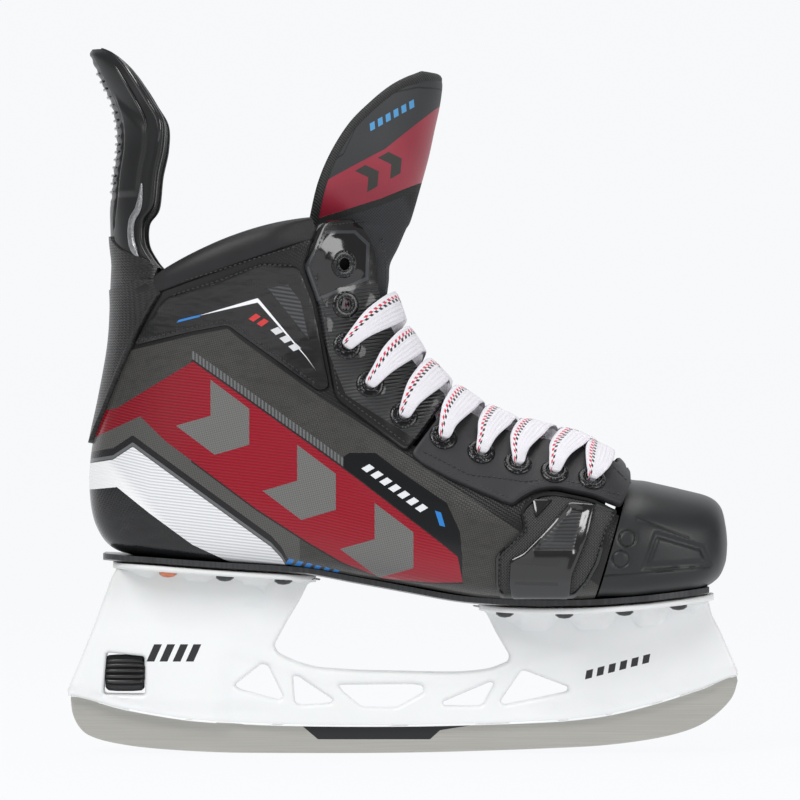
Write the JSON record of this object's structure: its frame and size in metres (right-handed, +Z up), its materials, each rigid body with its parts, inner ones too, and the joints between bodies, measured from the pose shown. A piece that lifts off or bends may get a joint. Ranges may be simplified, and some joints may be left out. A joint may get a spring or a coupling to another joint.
{
  "type": "ice hockey skate",
  "caption": "Right-foot hockey skate: laced composite boot with padded tongue and tendon guard, riveted blade holder with trusses, and a steel runner held by a wheel-driven lock.",
  "frame": {"origin": "on the ice, under the middle of the skate", "axes": "+X towards the toe, +Z up, -Y the outer side of the foot"},
  "size_m": [0.2946, 0.1029, 0.3096],
  "materials": {
    "shell": "woven grey and black composite with printed red and white panels",
    "cap": "satin moulded",
    "lining": "brushed cloth over foam",
    "collar": "soft padded",
    "strap": "woven",
    "felt": "felt with a cloth face",
    "lace": "flat woven, white with a red and black tracer",
    "holder": "white moulded nylon",
    "steel": "ground stainless",
    "rubber": "matt moulded",
    "bolt_steel": "plated",
    "facing": "matt synthetic leather",
    "gloss_leather": "glossy coated",
    "side_panel": "glossy moulded over mesh",
    "eyelet": "black gloss",
    "rivet": "blackened steel",
    "copper": "copper"
  },
  "bodies": {
    "boot": {"ankle_liner": "lining", "ankle_wrap_inner": "gloss_leather", "ankle_wrap_outer": "gloss_leather", "back_strap": "strap", "blade_holder": "holder", "collar_pad": "collar", "eyelet_inner_1": "eyelet", "eyelet_inner_10": "eyelet", "eyelet_inner_2": "eyelet", "eyelet_inner_3": "eyelet", "eyelet_inner_4": "eyelet", "eyelet_inner_5": "eyelet", "eyelet_inner_6": "eyelet", "eyelet_inner_7": "eyelet", "eyelet_inner_8": "eyelet", "eyelet_inner_9": "eyelet", "eyelet_outer_1": "eyelet", "eyelet_outer_10": "eyelet", "eyelet_outer_2": "eyelet", "eyelet_outer_3": "eyelet", "eyelet_outer_4": "eyelet", "eyelet_outer_5": "eyelet", "eyelet_outer_6": "eyelet", "eyelet_outer_7": "eyelet", "eyelet_outer_8": "eyelet", "eyelet_outer_9": "eyelet", "footbed": "lining", "lace": "lace", "lower_facing_inner": "facing", "lower_facing_outer": "facing", "outsole": "shell", "quarter_shell": "shell", "rivet_heel_inner_1": "copper", "rivet_heel_inner_2": "rivet", "rivet_heel_inner_3": "rivet", "rivet_heel_outer_1": "copper", "rivet_heel_outer_2": "rivet", "rivet_heel_outer_3": "rivet", "rivet_toe_inner_4": "rivet", "rivet_toe_inner_5": "rivet", "rivet_toe_inner_6": "rivet", "rivet_toe_inner_7": "rivet", "rivet_toe_outer_4": "rivet", "rivet_toe_outer_5": "rivet", "rivet_toe_outer_6": "rivet", "rivet_toe_outer_7": "rivet", "side_panel_inner": "side_panel", "side_panel_outer": "side_panel", "toe_cap": "cap", "tongue": "felt", "upper_facing_inner": "gloss_leather", "upper_facing_outer": "gloss_leather"},
    "guard": {"tendon_guard": "rubber", "tendon_pad": "felt"},
    "tongue_upper": {"tongue_top": "felt"},
    "runner_unit": {"runner": "steel"},
    "bolt": {"lock_bolt": "bolt_steel"},
    "wheel": {"lock_wheel": "rubber"}
  },
  "joints": [
    {"name": "tendon_guard_flex", "type": "hinge", "parent": "boot", "child": "guard", "pos_m": [-0.129, 0, 0.211], "axis": [0, -1, 0], "range_deg": [0, 30], "stiffness_Nm_per_rad": 2, "springref_deg": -2.86},
    {"name": "tongue_flex", "type": "hinge", "parent": "boot", "child": "tongue_upper", "pos_m": [0.0032, 0, 0.2345], "axis": [0, 1, 0], "range_deg": [0, 40], "stiffness_Nm_per_rad": 0.8, "springref_deg": -5.73},
    {"name": "runner_drop", "type": "slide", "parent": "boot", "child": "runner_unit", "axis": [0, 0, -1], "range_m": [0, 0.005]},
    {"name": "lock_bolt_slide", "type": "slide", "parent": "boot", "child": "bolt", "axis": [1, 0, 0], "range_m": [0, 0.005]},
    {"name": "lock_wheel_turn", "type": "hinge", "parent": "boot", "child": "wheel", "pos_m": [-0.1224, 0, 0.0352], "axis": [1, 0, 0], "range_deg": [0, 180]}
  ],
  "couplings": [
    {"joint": "lock_bolt_slide", "follows": "runner_drop", "ratio": 1},
    {"joint": "lock_wheel_turn", "follows": "runner_drop", "rad_per_m": 628.32}
  ]
}
